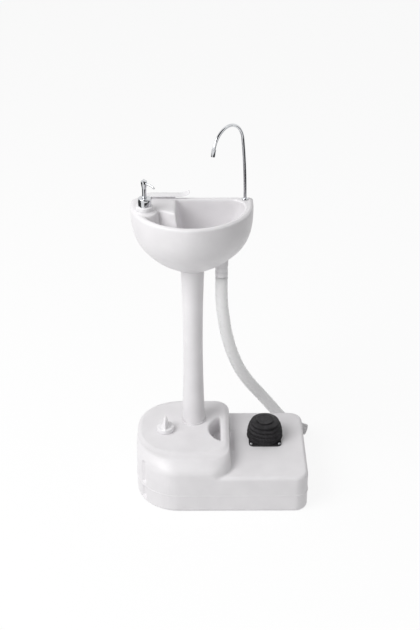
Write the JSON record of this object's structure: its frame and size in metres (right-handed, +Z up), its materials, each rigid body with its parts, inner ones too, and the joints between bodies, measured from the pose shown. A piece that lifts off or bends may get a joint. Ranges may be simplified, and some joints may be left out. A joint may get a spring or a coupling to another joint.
{
  "type": "portable wash basin",
  "caption": "Free-standing wash basin: water tank with a foot pump, waisted column, double-walled bowl, swivelling gooseneck spout, soap dispenser, towel arm and drain hose.",
  "frame": {"origin": "middle of the tank's underside, on the floor that the basin stands on", "axes": "+Z up along the column, +X to the right towards the foot pump, +Y away from the user; the front faces -Y"},
  "size_m": [0.4799, 0.3667, 1.0029],
  "materials": {
    "moulded_white": "blow-moulded polyethylene, satin",
    "gloss_white": "injection-moulded, gloss",
    "hose_white": "smooth flexible hose, milky",
    "chrome": "bright chrome",
    "steel": "plain stainless steel",
    "black_rubber": "moulded rubber, matt",
    "grey_rubber": "seal rubber, matt",
    "clear_tube": "clear flexible tube"
  },
  "bodies": {
    "stand": {"tank": "moulded_white", "column": "moulded_white", "column_collar": "moulded_white", "basin": "moulded_white", "drain_strainer": "chrome", "drain_gasket": "grey_rubber", "drain_nut": "gloss_white", "hose_cuff": "hose_white", "drain_hose": "hose_white", "soap_bottle": "gloss_white", "soap_ring": "gloss_white", "faucet_base": "chrome", "faucet_washer": "grey_rubber", "faucet_lock_nut": "steel", "faucet_o_ring": "black_rubber", "pump_base": "black_rubber", "pump_gasket": "grey_rubber", "pump_screws": "steel", "pump_bellows": "black_rubber", "pump_spring": "steel", "pump_inlet_valve": "grey_rubber", "pump_outlet_valve": "grey_rubber", "suction_tube": "clear_tube", "suction_filter": "gloss_white", "supply_tube": "clear_tube"},
    "cap": {"fill_cap": "gloss_white", "fill_cap_gasket": "grey_rubber"},
    "pump_top": {"pump_tread": "black_rubber"},
    "spout": {"faucet_spout": "chrome", "spout_nozzle": "chrome"},
    "soap_pump": {"soap_collar": "chrome", "soap_gasket": "grey_rubber", "soap_housing": "gloss_white", "soap_dip_tube": "clear_tube", "soap_spring": "steel"},
    "soap_plunger": {"soap_stem": "gloss_white"},
    "soap_nozzle": {"soap_head": "chrome"},
    "towel_arm": {"holder_arm": "gloss_white", "holder_clip": "grey_rubber"}
  },
  "joints": [
    {"name": "pump_press", "type": "slide", "parent": "stand", "child": "pump_top", "axis": [0, 0, -1], "range_m": [0, 0.032], "stiffness_N_per_m": 1500, "springref_m": -0.004, "deforming": ["pump_bellows", "pump_spring"]},
    {"name": "spout_swivel", "type": "hinge", "parent": "stand", "child": "spout", "pos_m": [0.057, 0.1, 0.786], "axis": [0, 0, 1], "continuous": true},
    {"name": "towel_arm_swing", "type": "hinge", "parent": "stand", "child": "towel_arm", "pos_m": [-0.181, 0.106, 0.786], "axis": [0, 0, 1], "range_deg": [0, 180]},
    {"name": "cap_lift", "type": "slide", "parent": "stand", "child": "cap", "axis": [0, 0, 1], "range_m": [0, 0.05]},
    {"name": "soap_pump_lift", "type": "slide", "parent": "stand", "child": "soap_pump", "axis": [0, 0, 1], "range_m": [0, 0.08]},
    {"name": "soap_press", "type": "slide", "parent": "soap_pump", "child": "soap_plunger", "axis": [0, 0, -1], "range_m": [0, 0.012], "stiffness_N_per_m": 400, "springref_m": -0.004, "deforming": ["soap_spring"]},
    {"name": "soap_turn", "type": "hinge", "parent": "soap_plunger", "child": "soap_nozzle", "pos_m": [-0.19, 0.032, 0.82], "axis": [0, 0, 1], "continuous": true}
  ]
}
